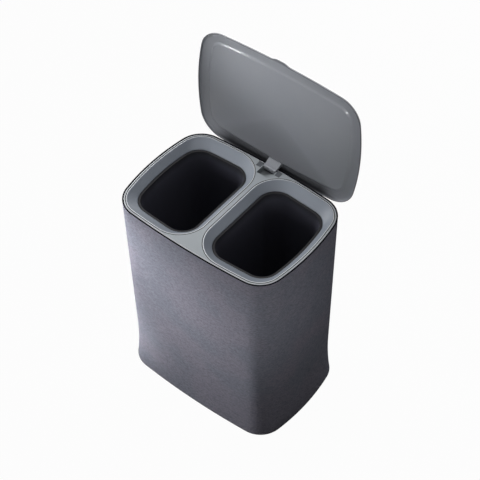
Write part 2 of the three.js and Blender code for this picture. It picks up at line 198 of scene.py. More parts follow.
def quarter(inset, z, across, up, turn, steps=6):
    """Quarter circle from (inset, z), as columns (inset, z): it starts level when turn is 0 and
    upright when turn is 1, and ends across and up from where it began."""
    a = np.linspace(0, quarter_turn, steps + 1)
    soft, firm = 1 - np.cos(a), np.sin(a)
    if turn:
        return np.column_stack([inset + across * soft, z + up * firm])
    return np.column_stack([inset + across * firm, z + up * soft])


flared_z = np.linspace(stand_height + foot_lead, waist_height, flare_rows)
straight_z = np.linspace(waist_height + waist_step, rim_height - lip_round - lip_lead, outer_rows)
outside_z = np.concatenate([flared_z, straight_z])
inside_z = np.linspace(ledge_top - ledge_height - ledge_lead, floor_top + floor_fillet, inner_rows)
lip_inset = wall_inset(rim_height)
foot_inset = wall_inset(stand_height)
ledge_inset = wall_inset(ledge_top) + wall
floor_inset = wall_inset(floor_top + floor_fillet) + wall
casing_profile = np.concatenate([
    [[wall_inset(floor_under) + wall, floor_under]],
    [[foot_inset + wall, stand_height + foot_bevel_height]],
    [[foot_inset + wall - foot_bevel_width, stand_height]],
    quarter(foot_inset + lip_round, stand_height, -lip_round, lip_round, 0),
    np.column_stack([wall_inset(outside_z), outside_z]),
    quarter(lip_inset, rim_height - lip_round, lip_round, lip_round, 1),
    quarter(lip_inset + wall - lip_round, rim_height, lip_round, -lip_round, 0),
    [[ledge_inset, ledge_top]],
    [[ledge_inset + ledge_width, ledge_top]],
    [[ledge_inset + ledge_width, ledge_top - ledge_height]],
    np.column_stack([wall_inset(inside_z) + wall, inside_z]),
    quarter(floor_inset, floor_top + floor_fillet, floor_fillet, -floor_fillet, 1),
])
casing = skin("casing_shell", [ring(rim_line, inset, z) for inset, z in casing_profile])


class Output:
    """What a node gives to others. Each operator adds the Math node that works it out."""

    def __init__(self, tree, socket):
        self.tree = tree
        self.socket = socket

    def then(self, operation, *others, clamp=False):
        """The Math node that works out an operation on this number and the others."""
        settings = {"operation": operation, "use_clamp": clamp}
        return self.tree.node("ShaderNodeMath", 0, settings, dict(enumerate((self, *others))))

    def __add__(self, other):
        return self.then("ADD", other)

    def __mul__(self, other):
        return self.then("MULTIPLY", other)

    __radd__ = __add__
    __rmul__ = __mul__


class Tree:
    """The nodes of a material or of the sky, from none up to the one that they end in."""

    def __init__(self, owner, end):
        owner.use_nodes = True
        self.nodes = owner.node_tree.nodes
        self.links = owner.node_tree.links
        self.nodes.clear()
        self.end = self.nodes.new(end)

    def node(self, kind, output, settings=None, inputs=None):
        """One node: its settings first, then a value or a link for each socket named."""
        made = self.nodes.new(kind)
        for key, value in (settings or {}).items():
            setattr(made, key, value)
        for key, value in (inputs or {}).items():
            if isinstance(value, Output):
                self.links.new(value.socket, made.inputs[key])
            else:
                made.inputs[key].default_value = value
        return Output(self, made.outputs[output])

    def ends_in(self, shader):
        """Joins this shader to the last node."""
        self.links.new(shader.socket, self.end.inputs[0])


class Finish(Tree):
    """A material: the nodes that feed what changes over the surface, and its shader."""

    def __init__(self, name):
        self.material = bpy.data.materials.new(name)
        super().__init__(self.material, "ShaderNodeOutputMaterial")

    def place(self, stretch=(1, 1, 1)):
        """Where a point is on the object, in metres, stretched along its axes."""
        spot = self.node("ShaderNodeTexCoord", "Object")
        return self.node("ShaderNodeMapping", 0, {}, {"Vector": spot, "Scale": stretch})

    def axis(self, vector, number):
        """One number of a vector: 0 for x, 1 for y and 2 for z."""
        return self.node("ShaderNodeSeparateXYZ", number, {}, {0: vector})

    def noise(self, place, scale=1.0, detail=3.0, roughness=0.5):
        """Soft random numbers about a half, which change scale times in a metre."""
        inputs = {"Vector": place, "Scale": scale, "Detail": detail, "Roughness": roughness}
        return self.node("ShaderNodeTexNoise", 0, {}, inputs)

    def between(self, low, high, amount):
        """Colour that goes from low to high with amount."""
        inputs = {0: amount}
        for socket, colour in ((6, low), (7, high)):
            inputs[socket] = colour if isinstance(colour, Output) else (*colour, 1)
        return self.node("ShaderNodeMix", 2, {"data_type": "RGBA"}, inputs)

    def step(self, value, low, high):
        """0 at low, 1 at high, and a soft rise between, also where high is the smaller."""
        settings = {"interpolation_type": "SMOOTHSTEP"}
        return self.node("ShaderNodeMapRange", 0, settings, {0: value, 1: low, 2: high})

    def bump(self, height, depth, strength=1.0):
        """Normal of a relief: height 0 to 1 stands for depth in metres."""
        inputs = {"Height": height, "Distance": depth, "Strength": strength}
        return self.node("ShaderNodeBump", 0, {}, inputs)

    def shader(self, **sockets):
        """The shader of a solid surface, with values and links for the sockets named."""
        inputs = {socket.replace("_", " "): value for socket, value in sockets.items()}
        return self.node("ShaderNodeBsdfPrincipled", 0, {}, inputs)

    def give(self, **sockets):
        """The finished material, which ends in a shader with these values and links."""
        self.ends_in(self.shader(**sockets))
        return self.material


blue_grey = (0.226, 0.233, 0.28)
mauve_grey = (0.254, 0.246, 0.296)
valley_shade_grey = (0.11, 0.11, 0.135)
crest_highlight_grey = (0.36, 0.365, 0.42)
edge_black = (0.006, 0.006, 0.008)
valley_shade_strength = 0.38
crest_highlight_strength = 0.32
grain_depth = 2.6
lip_shadow_low = 2.2
lip_shadow_full = 1.7
foot_black_top = 5.5
foot_black_full = 4.2
# How often each part of the grain changes in a metre, along x, y and z.
crease_grain = (95, 95, 260)
pebble_grain = (210, 210, 430)
pore_grain = (520, 520, 800)
cloud_grain = (7, 7, 9)
grained = Finish("grained_grey_plastic")
creases = grained.noise(grained.place(crease_grain), detail=3.0, roughness=0.6)
pebbles = grained.noise(grained.place(pebble_grain), detail=2.0, roughness=0.55)
pores = grained.noise(grained.place(pore_grain), detail=2.0, roughness=0.6)
relief = creases * 0.4 + pebbles * 0.45 + pores * 0.15
clouds = grained.noise(grained.place(cloud_grain), detail=3.0)
mottled = grained.between(blue_grey, mauve_grey, grained.step(clouds, 0.38, 0.62))
# The grain's valleys are painted darker as shade, and its crests paler as a highlight.
valley_shade = grained.step(relief, 0.52, 0.4) * valley_shade_strength
crest_highlight = grained.step(relief, 0.5, 0.62) * crest_highlight_strength
grain_colour = grained.between(mottled, valley_shade_grey, valley_shade)
grain_colour = grained.between(grain_colour, crest_highlight_grey, crest_highlight)
height_now = grained.axis(grained.place(), 2)
# The top of the lip is painted near-black as the shadow of the gap under the frame.
lip_shadow_start = (rim_height - lip_shadow_low) * MM
lip_shadow = grained.step(height_now, lip_shadow_start, (rim_height - lip_shadow_full) * MM)
foot_edge = grained.step(height_now, foot_black_top * MM, foot_black_full * MM)
colour = grained.between(grain_colour, edge_black, lip_shadow)
casing_finish = grained.give(
    Base_Color=grained.between(colour, edge_black, foot_edge),
    Roughness=0.62 + 0.12 * pores,
    Normal=grained.bump(relief, grain_depth * MM),
    Specular_IOR_Level=0,
)
dress(casing, casing_finish, "casing", "casing", "outer_casing")

# Feet. Each real foot is a round rubber pad pressed into a socket, a boss under the casing's floor.
# The pads carry the hamper and stay clear of the floor's edge all round.
foot_radius = 12
foot_inside = 20
foot_round = 1.2
dish_radius = 6
dish_depth = 0.3
dish_crown_radius = 4
dish_crown = 0.05
dish_slope = 0.6
pad_bevel = 0.3
pad_clearance = 0.3
socket_depth = 1
socket_gap = 0.3
socket_wall = 3
socket_lead = 0.4
socket_bevel = 0.3
boss_bevel = 0.8
boss_overlap = 0.5
foot_places = {
    "front_left": (-1, -1),
    "front_right": (1, -1),
    "rear_left": (-1, 1),
    "rear_right": (1, 1),
}


def turned(name, middle, profile, steps=64):
    """Solid of revolution about an upright line: the profile gives (radius, height) from the lower
    middle to the upper one."""
    line = line_of_arcs([(middle, 0, 0, 2 * half_turn, steps)])
    return skin(name, [ring(line, -radius, z) for radius, z in profile])


rubber_dark = (0.012, 0.012, 0.013)
rubber_light = (0.022, 0.022, 0.023)
rubber_relief = 0.1
rubber = Finish("black_rubber")
crumbs = rubber.noise(rubber.place(), scale=900.0, detail=2.0)
rubber_finish = rubber.give(
    Base_Color=rubber.between(rubber_dark, rubber_light, crumbs),
    Roughness=0.75 + 0.15 * crumbs,
    Normal=rubber.bump(crumbs, rubber_relief * MM, strength=0.6),
    Specular_IOR_Level=0.3,
)
socket_top = stand_height + socket_depth
pad_top = socket_top - pad_clearance
pad_profile = np.concatenate([
    [[dish_crown_radius, dish_depth + dish_crown], [dish_radius, dish_depth]],
    [[dish_radius + dish_slope, 0]],
    quarter(foot_radius - foot_round, 0, foot_round, foot_round, 0),
    [[foot_radius, pad_top - pad_bevel], [foot_radius - pad_bevel, pad_top]],
])
boss_in = foot_radius + socket_gap
boss_out = boss_in + socket_wall
boss_profile = [
    (boss_in - socket_lead, socket_top),
    (boss_in, socket_top),
    (boss_in, stand_height + socket_bevel),
    (boss_in + socket_bevel, stand_height),
    (boss_out - boss_bevel, stand_height),
    (boss_out, stand_height + boss_bevel),
    (boss_out, floor_under + boss_overlap),
]
for side, (sx, sy) in foot_places.items():
    middle = (rim_corner + foot_inside) * [sx, sy]
    pad = turned(f"foot_pad_{side}", middle, pad_profile)
    dress(pad, rubber_finish, "casing", "foot", f"foot_{side}")
    boss = turned(f"foot_socket_{side}", middle, boss_profile)
    dress(boss, casing_finish, "casing", "casing")

# Top frame. The real one is a smooth plastic moulding that drops into the casing: a narrow deck
# with a rounded bead along its outer edge, a shallow rebate round each bin, and at the rear a
# pocket for the lid's tongue between two seats for the hinge caps.
deck_top = 602.5
deck_thickness = 2.5
deck_lead = 0.4
frame_bottom = 579
frame_gap = 0.6
frame_bevel = 0.6
bead_width = 3.2
bead_drop = 2.6
skirt = 2.2
skirt_taper = 0.8
bin_inset = 8.6
divider_half = 6
bin_outer_radius = 59
bin_inner_radius = 78
rebate_gap = 0.5
rebate_ledge = 5
rebate_depth = 2.8
rebate_floor = 2.5
rebate_round = 1.2
curb_drop = 1.5
hinge_y = 158.3
hinge_z = 594
pin_radius = 2
pin_gap = 0.3
pocket_half = 19
pocket_front = 31
pocket_floor = 587.8
pocket_wall = 2.2
housing_behind = 4.2
housing_drop = 1.2
nose_behind = 4.0
nose_drop = 1.3
cap_inner = 21.2
cap_outer = 35.2
cap_length = 17
cap_behind = 2.9
cap_rear = hinge_y + cap_behind
cap_front = cap_rear - cap_length
channel = pin_radius + pin_gap
channel_end = 0.3
slot_overlap = 1
# Each cut passes the surface by a length of its own, so that no two of them end in one plane.
skirt_overrun = 5
rebate_overrun = 5
opening_overrun = 6
pocket_overrun = 4
seat_overrun = 4.5
slot_overrun = 4.8
skin_overrun = 0.01


def bin_line(across, along, outer_radius, inner_radius, steps=(26, 30, 26, 34, 30)):
    """Outline of the right bin, moved in by across at its ends and by along at front and rear. Its
    outer sides follow the rim and its inner side is straight, joined by tangent corner arcs."""
    long = long_radius - bin_inset - along
    short = short_radius - bin_inset - across
    inner_x = divider_half + across
    outer = corner_middle(long, short, outer_radius)
    reach = math.sqrt((long - inner_radius) ** 2 - (inner_x + inner_radius) ** 2)
    inner = np.array([inner_x + inner_radius, long_middle[1] + reach])
    to_long = angle_from(long_middle, outer)
    to_short = angle_from(short_middle, outer)
    to_inner = angle_from(long_middle, inner)
    flip = np.array([1, -1])
    side, corner, edge, turn, straight = steps
    points, outward = line_of_arcs([
        (short_middle, short, -to_short, to_short, side),
        (outer, outer_radius, to_short, to_long, corner),
        (long_middle, long, to_long, to_inner, edge),
        (inner, inner_radius, to_inner, half_turn, turn),
        ((inner_x, 0), 0, half_turn, half_turn, straight),
        (inner * flip, inner_radius, half_turn, 2 * half_turn - to_inner, turn),
        (front_middle, long, 2 * half_turn - to_inner, 2 * half_turn - to_long, edge),
        (outer * flip, outer_radius, -to_long, -to_short, corner),
    ])
    start = side + corner + edge + turn
    points[start : start + straight, 1] = np.linspace(inner[1], -inner[1], straight, endpoint=False)
    return points, outward


def mirrored(line):
    """The same closed line on the other side of the middle plane, still counter-clockwise."""
    points, outward = line
    return points[::-1] * [-1, 1], outward[::-1] * [-1, 1]


def block(name, low, high):
    """Plain solid between two opposite corners, used only to cut or to join."""
    x, y, z = zip(low, high)
    corners = [(a, b, c) for c in z for b in y for a in x]
    faces = [(0, 2, 3, 1), (4, 5, 7, 6), (0, 1, 5, 4), (2, 6, 7, 3), (0, 4, 6, 2), (1, 3, 7, 5)]
    return piece_of(name, corners, faces)


def bar(name, radius, low, high, steps=48):
    """Round bar along the hinge's axis: circles about it at low and at high."""
    a = np.linspace(0, 2 * half_turn, steps, endpoint=False)
    y = hinge_y + radius * np.cos(a)
    z = hinge_z + radius * np.sin(a)
    return skin(name, [np.column_stack([np.full(steps, x), y, z]) for x in (low, high)])


def carve(piece, operation, *tools, sharp=40):
    """Joins the tools to the piece, or cuts them out of it, and removes them."""
    for tool in tools:
        cut = piece.modifiers.new(tool.name, "BOOLEAN")
        cut.operation = operation
        cut.solver = "MANIFOLD"
        cut.object = tool
    bpy.context.view_layer.update()
    done = piece.evaluated_get(bpy.context.evaluated_depsgraph_get())
    mesh = bpy.data.meshes.new_from_object(done)
    piece.modifiers.clear()
    piece.data = mesh
    mesh.shade_smooth()
    mesh.set_sharp_from_angle(angle=math.radians(sharp))
    for tool in tools:
        bpy.data.objects.remove(tool)


def level(piece):
    """Lets large flats keep their own direction where they meet a small rounding."""
    weigh = piece.modifiers.new("level", "WEIGHTED_NORMAL")
    weigh.keep_sharp = True


bin_outline = bin_line(0, 0, bin_outer_radius, bin_inner_radius)
deck_inset = wall_inset(deck_top) + wall + frame_gap
bottom_inset = wall_inset(frame_bottom) + wall + frame_gap
envelope = np.concatenate([
    [[bottom_inset + frame_bevel, frame_bottom]],
    [[bottom_inset, frame_bottom + frame_bevel]],
    quarter(deck_inset, deck_top - bead_drop, bead_width, bead_drop, 1, steps=10),
    [[deck_inset + bead_width + deck_lead, deck_top]],
])
top_frame = skin("deck_frame", [ring(rim_line, inset, z) for inset, z in envelope])
hollow = skin("hollow", [
    ring(rim_line, deck_inset + skirt + skirt_taper, frame_bottom - skirt_overrun),
    ring(rim_line, deck_inset + skirt + skirt_taper, deck_top - bead_drop),
    ring(rim_line, deck_inset + skirt + bead_width, deck_top - deck_thickness),
])
pocket_under = pocket_floor - pocket_wall
housing_low = (-cap_outer - pocket_wall, cap_front - pocket_wall, pocket_under)
housing_high = (cap_outer + pocket_wall, hinge_y + housing_behind, deck_top - housing_drop)
nose_low = (-pocket_half - pocket_wall, hinge_y - pocket_front - pocket_wall, pocket_under)
nose_high = (pocket_half + pocket_wall, hinge_y + nose_behind, deck_top - nose_drop)
additions = [block("housing", housing_low, housing_high), block("nose", nose_low, nose_high)]
cuts = []
curb_bottom = deck_top - rebate_depth - rebate_floor
round_start = deck_top - rebate_round
rebate_edge = quarter(-rebate_gap, round_start, -rebate_round, rebate_round + skin_overrun, 1)
for side, line in (("right", bin_outline), ("left", mirrored(bin_outline))):
    curb = [ring(line, -rebate_gap - skirt, z) for z in (curb_bottom, deck_top - curb_drop)]
    additions.append(skin(f"curb_{side}", curb))
    rebate = [
        ring(line, -rebate_gap, deck_top - rebate_depth),
        *[ring(line, inset, z) for inset, z in rebate_edge],
        ring(line, -rebate_gap - rebate_round, deck_top + rebate_overrun),
    ]
    cuts.append(skin(f"rebate_{side}", rebate))
    opening_ends = (frame_bottom - opening_overrun, deck_top + opening_overrun)
    cuts.append(skin(f"opening_{side}", [ring(line, rebate_ledge, z) for z in opening_ends]))
carve(top_frame, "DIFFERENCE", hollow)
carve(top_frame, "UNION", *additions)
pocket_low = (-pocket_half, hinge_y - pocket_front, pocket_floor)
pocket_high = (pocket_half, rim_depth / 2, deck_top + pocket_overrun)
cuts.append(block("pocket", pocket_low, pocket_high))
cuts.append(bar("channel", channel, -cap_outer + channel_end, cap_outer - channel_end))
for sign in (-1, 1):
    near, far = sorted((sign * cap_inner, sign * cap_outer))
    seat_high = (far, cap_rear, deck_top + seat_overrun)
    cuts.append(block(f"seat_{near}", (near, cap_front, hinge_z), seat_high))
    near, far = sorted((sign * (pocket_half - slot_overlap), sign * (cap_inner + slot_overlap)))
    slot_high = (far, hinge_y + channel, deck_top + slot_overrun)
    cuts.append(block(f"slot_{near}", (near, hinge_y - channel, hinge_z), slot_high))
carve(top_frame, "DIFFERENCE", *cuts)
level(top_frame)


def paint(piece, name, values):
    """Stores one number for each vertex under a name that a material can read."""
    layer = piece.data.attributes.new(name, "FLOAT", "POINT")
    layer.data.foreach_set("value", np.asarray(values, np.float32))


highlight_grey = (0.56, 0.58, 0.6)
shade_black = (0.012, 0.012, 0.014)
mould_relief = 0.1


def satin(name, dark, light, roughness, specular=0.5, **constants):
    """Smooth moulded plastic: a little cloudiness in its colour, a fine even mould texture, painted shade
    where the first of two vertex attributes is set, and a paler painted highlight where the second is."""
    finish = Finish(name)
    clouds = finish.noise(finish.place(), scale=9.0, detail=3.0)
    grit = finish.noise(finish.place(), scale=1400.0, detail=2.0)
    waves = finish.noise(finish.place(), scale=22.0, detail=2.0)
    painted_shade, edge = (
        finish.node("ShaderNodeAttribute", "Fac", {"attribute_name": painted, "attribute_type": "GEOMETRY"})
        for painted in ("painted_shade", "edge")
    )
    highlighted = finish.step(edge, 0.0, 0.3)
    colour = finish.between(finish.between(dark, light, clouds), highlight_grey, highlighted)
    return finish.give(
        Base_Color=finish.between(colour, shade_black, painted_shade),
        Roughness=roughness + 0.08 * grit + 0.06 * clouds,
        Normal=finish.bump(grit * 0.02 + waves, mould_relief * MM, strength=0.6),
        Specular_IOR_Level=specular,
        **constants,
    )


def distance_to(line, x, y):
    """Distance in millimetres from each point (x, y) to the nearest point of a line."""
    steps = np.stack([x, y], -1)[:, None] - line[0][None]
    return np.sqrt((steps**2).sum(-1).min(1))


def hat(values, middle, half_width):
    """1 at the middle, 0 half a width away, and below 0 further out, so that a thin line that is
    painted with it stays crisp between the vertices."""
    return np.clip(1 - np.abs(values - middle) / half_width, -1, 1)


deck_dark = (0.224, 0.244, 0.26)
deck_light = (0.254, 0.274, 0.29)
deck_finish = satin("satin_grey_plastic", deck_dark, deck_light, roughness=0.4, specular=0.35)
rebate_shade_reach = 1.35
rebate_shade_drop = 0.1
bead_shade_reach = 0.3
bead_top = 2
bead_highlight_middle = 1.3
bead_highlight_half = 1.1
places = np.empty((len(top_frame.data.vertices), 3))
top_frame.data.vertices.foreach_get("co", places.reshape(-1))
deck_x, deck_y, deck_z = places.T / MM - [[0], [middle_y], [0]]
bead_distance = distance_to(rim_line, deck_x, deck_y) - deck_inset
bin_distance = distance_to(bin_outline, np.abs(deck_x), deck_y)
# The edges of the rebates and the gap beside the casing are painted black as shade, and a pale line along
# the bead is a painted highlight.
by_bin = (bin_distance < rebate_shade_reach) & (deck_z < deck_top - rebate_shade_drop)
by_casing = (bead_distance < bead_shade_reach) & (deck_z < deck_top - bead_top)
paint(top_frame, "painted_shade", by_bin | by_casing)
bead_highlight = hat(bead_distance, bead_highlight_middle, bead_highlight_half)
paint(top_frame, "edge", np.where(deck_z > deck_top - bead_top, bead_highlight, -1))
dress(top_frame, deck_finish, "casing", "frame", "top_frame")

# Bins. Each real bin is two plastic mouldings: a smooth collar, with a flat lip in the frame's
# rebate, a sloping funnel and a short sleeve, and a dark tapered tub that hangs by its flange on
# the sleeve's shelf.
lip_thickness = 2.5
lip_width = 5
lip_from = 0.4
lip_to = 3.4
funnel_depth = 18
funnel_lead = 0.9
mouth_across = 20.5
mouth_along = 28
mouth_radius = 50
collar_wall = 2.3
sleeve_depth = 7
shelf_width = 3.6
shelf_thickness = 2.4
longest_step = 4
mouth_top = deck_top - funnel_depth
shelf_top = mouth_top - sleeve_depth
mouth_outline = bin_line(mouth_across, mouth_along, mouth_radius, mouth_radius)


def collar_ring(x, z, lip, mouth):
    """Row of a collar at x millimetres in from its outer edge: on the lip it follows the outer
    line, on the sleeve the mouth's line, and on the funnel it goes evenly from one to the other."""
    if x <= lip_width:
        return ring(lip, x, z)
    if x >= mouth_across:
        return ring(mouth, x - mouth_across, z)
    share = (x - lip_width) / (mouth_across - lip_width)
    return (1 - share) * ring(lip, lip_width, z) + share * ring(mouth, 0, z)


def eased(corners, steps=5, lead_share=0.4):
    """Closed profile through corners (x, z, radius). Each corner becomes the quadratic curve
    (1-t)^2 A + 2t(1-t) C + t^2 B, where A and B lie a radius away along its two sides, with one
    more point before and after it so that the flats beside it stay flat."""
    c = np.array(corners, float)
    point = c[:, :2]
    reach = c[:, 2:]
    before = np.roll(point, 1, 0) - point
    after = np.roll(point, -1, 0) - point
    before /= np.linalg.norm(before, axis=1, keepdims=True)
    after /= np.linalg.norm(after, axis=1, keepdims=True)
    t = np.linspace(0, 1, steps + 1)[None, :, None]
    a = (point + before * reach)[:, None]
    b = (point + after * reach)[:, None]
    curve = (1 - t) ** 2 * a + 2 * t * (1 - t) * point[:, None] + t**2 * b
    lead_in = a + lead_share * (before * reach)[:, None]
    lead_out = b + lead_share * (after * reach)[:, None]
    return np.concatenate([lead_in, curve, lead_out], 1).reshape(-1, 2)


def filled(profile, longest):
    """Closed profile with even steps no longer than longest put into its long spans."""
    ahead = np.roll(profile, -1, 0)
    counts = np.ceil(np.linalg.norm(ahead - profile, axis=1) / longest).astype(int)
    spans = zip(profile, ahead, np.maximum(counts, 1))
    return np.concatenate([a + (b - a) * (np.arange(n) / n)[:, None] for a, b, n in spans])


# The third number of each corner is the radius of its rounding.
collar_profile = filled(eased([
    (lip_from, deck_top - lip_thickness, 0.4),
    (lip_from, deck_top, 1.1),
    (lip_to, deck_top, 1.0),
    (mouth_across, mouth_top, 2.5),
    (mouth_across, shelf_top, 0.5),
    (mouth_across + shelf_width, shelf_top, 0.4),
    (mouth_across + shelf_width, shelf_top - shelf_thickness, 0.4),
    (mouth_across - collar_wall, shelf_top - shelf_thickness, 0.4),
    (mouth_across - collar_wall, mouth_top - lip_thickness, 1.5),
    (lip_width + funnel_lead, deck_top - lip_thickness, 1.0),
]), longest_step)
collar_shade_reach = 1.2
collar_shade_drop = 0.3
sleeve_shade = 0.9
sleeve_shade_lead = 0.3
sleeve_shade_drop = 1
collar_highlight_middle = 1.5
collar_highlight_half = 0.8
collar_highlight_drop = 1
from_edge, collar_z = collar_profile.T
# The collar's outer edge down in the rebate and its sleeve are painted dark as shade, and a pale line along
# the lip is a painted highlight.
outer_edge = (from_edge < collar_shade_reach) & (collar_z < deck_top - collar_shade_drop)
on_sleeve = (from_edge > mouth_across - sleeve_shade_lead) & (collar_z < mouth_top - sleeve_shade_drop)
collar_shade = outer_edge + sleeve_shade * on_sleeve
on_lip = collar_z > deck_top - collar_highlight_drop
collar_edge = np.where(on_lip, hat(from_edge, collar_highlight_middle, collar_highlight_half), -1)
tub_gap = 0.4
tub_wall = 2
tub_draft = 5
tub_bottom = 33
tub_fillet = 12
flange_drop = 1.3
flange_rest = 0.3
flange_bevel = 0.2
flange_round = 0.6
flange_shade_lead = 0.4
tub_rows = 24
wall_out = shelf_width + tub_gap
wall_in = wall_out + tub_wall
flange_top = mouth_top - flange_drop
flange_under = shelf_top + flange_rest
flange_edge = flange_top - flange_round
fillet_top = tub_bottom + tub_fillet
low_draft = tub_draft * (shelf_top - fillet_top) / (shelf_top - tub_bottom)
drafts = np.linspace(0, 1, tub_rows)[1:-1]
outer_wall = [wall_out + low_draft * (1 - drafts), fillet_top + (flange_under - fillet_top) * drafts]
inner_wall = [wall_in + low_draft * drafts, flange_edge + (fillet_top - flange_edge) * drafts]
tub_profile = np.concatenate([
    quarter(wall_out + low_draft + tub_fillet, tub_bottom, -tub_fillet, tub_fillet, 0),
    np.column_stack(outer_wall),
    [[wall_out, flange_under], [tub_gap + flange_bevel, flange_under]],
    [[tub_gap, flange_under + flange_bevel]],
    quarter(tub_gap, flange_edge, flange_round, flange_round, 1),
    quarter(wall_in - flange_round, flange_top, flange_round, -flange_round, 0),
    np.column_stack(inner_wall),
    quarter(wall_in + low_draft, fillet_top, tub_fillet - tub_wall, tub_wall - tub_fillet, 1),
])
from_mouth, tub_z = tub_profile.T
# The top of the tub's flange is painted black as shade under the collar.
flange = (tub_z > flange_under - flange_bevel / 2) & (from_mouth < wall_in + flange_shade_lead)
collar_dark = (0.145, 0.161, 0.188)
collar_light = (0.166, 0.185, 0.214)
tub_dark = (0.045, 0.046, 0.062)
tub_light = (0.06, 0.061, 0.08)
collar_finish = satin("satin_blue_grey_plastic", collar_dark, collar_light, roughness=0.4, specular=0.35)
tub_finish = satin("charcoal_plastic", tub_dark, tub_light, roughness=0.6, specular=0.2)
for side in ("left", "right"):
    lip_line = bin_outline if side == "right" else mirrored(bin_outline)
    mouth_line = mouth_outline if side == "right" else mirrored(mouth_outline)
    rows = [collar_ring(x, z, lip_line, mouth_line) for x, z in collar_profile]
    collar = skin(f"collar_{side}", rows[::-1], closed=True)
    paint(collar, "painted_shade", np.repeat(collar_shade[::-1], len(lip_line[0])))
    paint(collar, "edge", np.repeat(collar_edge[::-1], len(lip_line[0])))
    dress(collar, collar_finish, f"bin_{side}", "frame", f"bin_collar_{side}")
    tub = skin(f"tub_{side}", [ring(mouth_line, inset, z) for inset, z in tub_profile])
    paint(tub, "painted_shade", np.append(np.repeat(flange, len(mouth_line[0])), [0, 0]))
    dress(tub, tub_finish, f"bin_{side}", "tub", f"bin_tub_{side}")

# Hinge. A steel pin lies in the frame's channel and passes through the lid's tongue. Two plastic
# caps with rounded edges snap into the seats over its ends and hold it down.
cap_gap = 0.3
cap_drop = 0.2
cap_corner = 1.5
cap_round = 1
cap_lead = 0.3
cap_bevel = 0.2
bore_overrun = 3
cap_top = deck_top - cap_drop
cap_bottom = hinge_z + cap_gap


def rounded_box_line(middle, half_x, half_y, radius, steps=8):
    """Closed line of a rectangle with quarter arcs at its corners."""
    reach = np.array([half_x - radius, half_y - radius])
    corners = [(1, 1), (-1, 1), (-1, -1), (1, -1)]
    return line_of_arcs([
        (middle + reach * corner, radius, i * quarter_turn, (i + 1) * quarter_turn, steps)
        for i, corner in enumerate(corners)
    ])


cap_dark = (0.05, 0.055, 0.064)
cap_light = (0.066, 0.072, 0.083)
cap_finish = satin("dark_grey_plastic", cap_dark, cap_light, roughness=0.45)
cap_profile = np.concatenate([
    [[cap_bevel, cap_bottom], [0, cap_bottom + cap_bevel]],
    quarter(0, cap_top - cap_round, cap_round, cap_round, 1),
    [[cap_round + cap_lead, cap_top]],
])
for side, sign in (("left", -1), ("right", 1)):
    middle = np.array([sign * (cap_inner + cap_outer) / 2, (cap_front + cap_rear) / 2])
    half_x = (cap_outer - cap_inner) / 2 - cap_gap
    line = rounded_box_line(middle, half_x, cap_length / 2 - cap_gap, cap_corner)
    cap = skin(f"pin_cap_{side}", [ring(line, inset, z) for inset, z in cap_profile])
    bore_ends = sorted((sign * (cap_inner - bore_overrun), sign * (cap_outer + bore_overrun)))
    carve(cap, "DIFFERENCE", bar("channel_cut", channel, *bore_ends))
    level(cap)
    dress(cap, cap_finish, "casing", "cap", f"hinge_cap_{side}")

steel_dark = (0.38, 0.385, 0.39)
steel_light = (0.5, 0.505, 0.51)
steel = Finish("drawn_steel")
streaks = steel.noise(steel.place((30, 900, 900)), detail=2.0)
steel_finish = steel.give(
    Base_Color=steel.between(steel_dark, steel_light, streaks),
    Roughness=0.25 + 0.15 * streaks,
    Metallic=1.0,
)
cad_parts["hinge_pin"].data.materials.clear()
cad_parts["hinge_pin"].data.materials.append(steel_finish)

# Lid. The real lid is one smooth plastic moulding: a shallow tray with a soft crown, a raised panel
# on its inner side, a low swelling on the front edge for the fingers, and an arched tongue at the
# rear that turns on the pin and stops the open lid against the frame.
lid_gap = 2.6
lid_inset = 2
lid_hollow = 7.2
lid_height = 9.7
lid_skirt = 2.5
lid_edge_round = 0.6
crown_width = 14
inner_crown_width = 22
crown_height = 7.5
crown_steps = 11
panel_inset = 25.5
panel_slope = 9
panel_step = 3.8
panel_lead = 1
panel_steps = 13
plate = 2.6
grab_width = 58
grab_reach = 5.3
grab_blend = 20
grab_from_edge = 2.4
grab_height = 8
grab_fade = 3
open_angle = math.radians(93.5)
lid_sharp = 50
lid_low = rim_height + lid_gap
lid_under = lid_low + lid_hollow
lid_top = lid_low + lid_height


def opened(points):
    """Closed-lid points turned back about the hinge's axis into the open place."""
    y = points[..., 1] - hinge_y
    z = points[..., 2] - hinge_z
    c, s = math.cos(open_angle), math.sin(open_angle)
    return np.stack([points[..., 0], hinge_y + y * c + z * s, hinge_z - y * s + z * c], -1)


def soft_step(t):
    """Half a cosine wave that rises from 0 to 1 as t does, after t is held between them."""
    return (1 - np.cos(np.pi * np.clip(t, 0, 1))) / 2


slope = np.linspace(0, 1, panel_steps)
fall = panel_step * soft_step(slope)
swing = 1 - np.cos(np.linspace(0, quarter_turn, crown_steps))
sink = 1 - np.sin(np.linspace(0, quarter_turn, crown_steps))
inner_reach = inner_crown_width - lid_skirt
inner_panel = np.column_stack([panel_inset + panel_slope * slope, lid_under - fall])
outer_panel = np.column_stack([panel_inset - plate + panel_slope * slope, lid_top - fall])
inner_crown = np.column_stack([lid_skirt + inner_reach * swing, lid_under - (crown_height - plate) * sink])
outer_crown = np.column_stack([crown_width * swing, lid_top - crown_height * sink])
panel_end = panel_inset + panel_slope + panel_lead
lid_profile = np.concatenate([
    [[panel_end, lid_under - panel_step]],
    inner_panel[::-1],
    inner_crown[::-1],
    quarter(lid_skirt, lid_low + lid_edge_round, -lid_edge_round, -lid_edge_round, 1),
    quarter(lid_edge_round, lid_low, -lid_edge_round, lid_edge_round, 0),
    outer_crown,
    outer_panel,
    [[panel_end - plate, lid_top - panel_step]],
])
lid_rows = np.array([ring(rim_line, lid_inset + inset, z) for inset, z in lid_profile])
lid_x = np.abs(lid_rows[..., 0])
lid_y = lid_rows[..., 1]
from_side, lid_z = lid_profile.T
